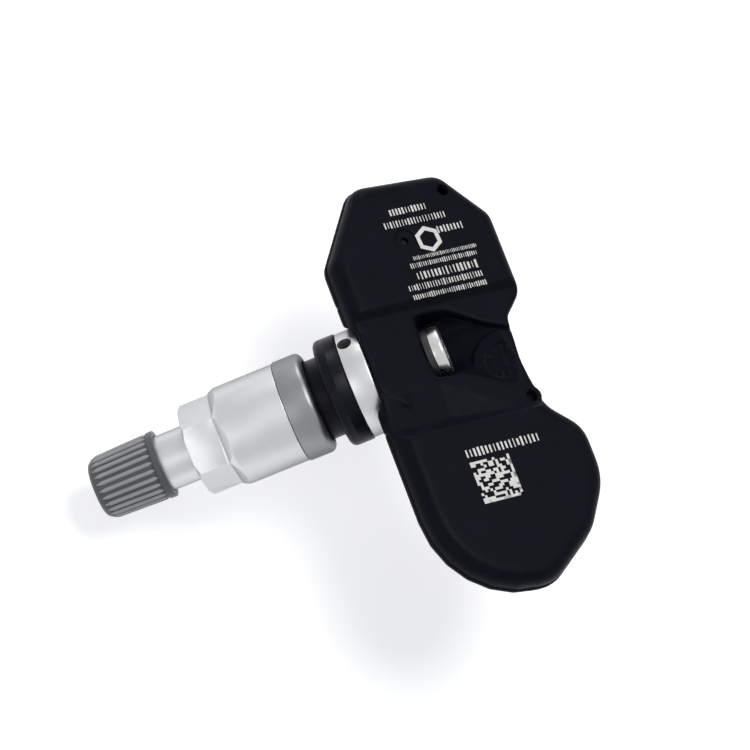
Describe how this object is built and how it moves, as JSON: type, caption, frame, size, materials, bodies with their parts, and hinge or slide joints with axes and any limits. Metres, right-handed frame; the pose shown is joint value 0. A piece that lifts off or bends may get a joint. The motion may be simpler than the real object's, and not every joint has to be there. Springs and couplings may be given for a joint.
{
  "type": "tyre pressure sensor",
  "caption": "Clamp-in tyre pressure sensor: a peanut-shaped black electronics housing screwed to an angled metal valve with a nut and a fluted cap.",
  "frame": {"origin": "on the valve's axis, at the face of the grommet's flange that seats against the inside of the wheel rim", "axes": "+Z is the normal of the flat label side, +X runs towards the big battery lobe, +Y points away from the valve; the valve points along (0, -0.857, -0.515), 31 degrees below the label plane"},
  "size_m": [0.0594, 0.06, 0.032],
  "materials": {
    "shell_plastic": "fine spark-eroded mould texture",
    "cover_plastic": "fine satin",
    "filter_membrane": "porous film",
    "gasket_rubber": "soft",
    "board_laminate": "solder mask",
    "chip_resin": "moulded",
    "can_steel": "plain",
    "coil_winding": "lacquered copper wire on a ferrite drum",
    "antenna_strip": "plain",
    "capacitor_ceramic": "fired",
    "cell_steel": "nickel plated",
    "tab_nickel": "plain",
    "stem_aluminium": "satin, slightly frosted",
    "grommet_rubber": "semi-matt",
    "ring_grey": "grey anodised, satin",
    "nut_aluminium": "satin, fine turned marks",
    "cap_grey": "satin moulded",
    "seal_rubber": "soft",
    "core_brass": "turned",
    "core_seal_red": "soft",
    "spring_steel": "drawn wire",
    "screw_steel": "bright",
    "washer_black": "plain"
  },
  "bodies": {
    "sensor": {"housing_shell": "shell_plastic", "base_cover": "cover_plastic", "port_filter": "filter_membrane", "port_gasket": "gasket_rubber", "circuit_board": "board_laminate", "pressure_sensor": "chip_resin", "controller_chip": "chip_resin", "crystal_can": "can_steel", "wake_up_coil": "coil_winding", "transmit_antenna": "antenna_strip", "capacitors": "capacitor_ceramic", "coin_cell": "cell_steel", "battery_tab_upper": "tab_nickel", "battery_tab_lower": "tab_nickel", "valve_stem": "stem_aluminium", "sealing_grommet": "grommet_rubber", "core_body": "core_brass", "core_ring": "core_seal_red", "core_spring": "spring_steel", "retaining_screw": "screw_steel", "screw_washer": "washer_black"},
    "ring_body": {"clamp_ring": "ring_grey"},
    "nut_body": {"union_nut": "nut_aluminium"},
    "seal_body": {"cap_seal": "seal_rubber"},
    "cap_body": {"valve_cap": "cap_grey"},
    "pin_body": {"core_pin": "core_brass", "core_cup": "seal_rubber"}
  },
  "joints": [
    {"name": "nut_travel", "type": "slide", "parent": "sensor", "child": "ring_body", "axis": [0, -0.8572, -0.515], "range_m": [-0.0017, 0.004]},
    {"name": "nut_turn", "type": "hinge", "parent": "ring_body", "child": "nut_body", "pos_m": [0, 0, 0], "axis": [0, -0.8572, -0.515], "range_deg": [-771, 1814]},
    {"name": "cap_travel", "type": "slide", "parent": "sensor", "child": "seal_body", "axis": [0, -0.8572, -0.515], "range_m": [0, 0.008]},
    {"name": "cap_turn", "type": "hinge", "parent": "seal_body", "child": "cap_body", "pos_m": [0, 0, 0], "axis": [0, -0.8572, -0.515], "range_deg": [0, 3628]},
    {"name": "core_press", "type": "slide", "parent": "sensor", "child": "pin_body", "axis": [0, 0.8572, 0.515], "range_m": [0, 0.0012], "stiffness_N_per_m": 1000, "springref_m": -0.0005, "deforming": ["core_spring"]}
  ],
  "couplings": [
    {"joint": "nut_turn", "follows": "nut_travel", "rad_per_m": 7913.3},
    {"joint": "cap_turn", "follows": "cap_travel", "rad_per_m": 7913.3}
  ]
}
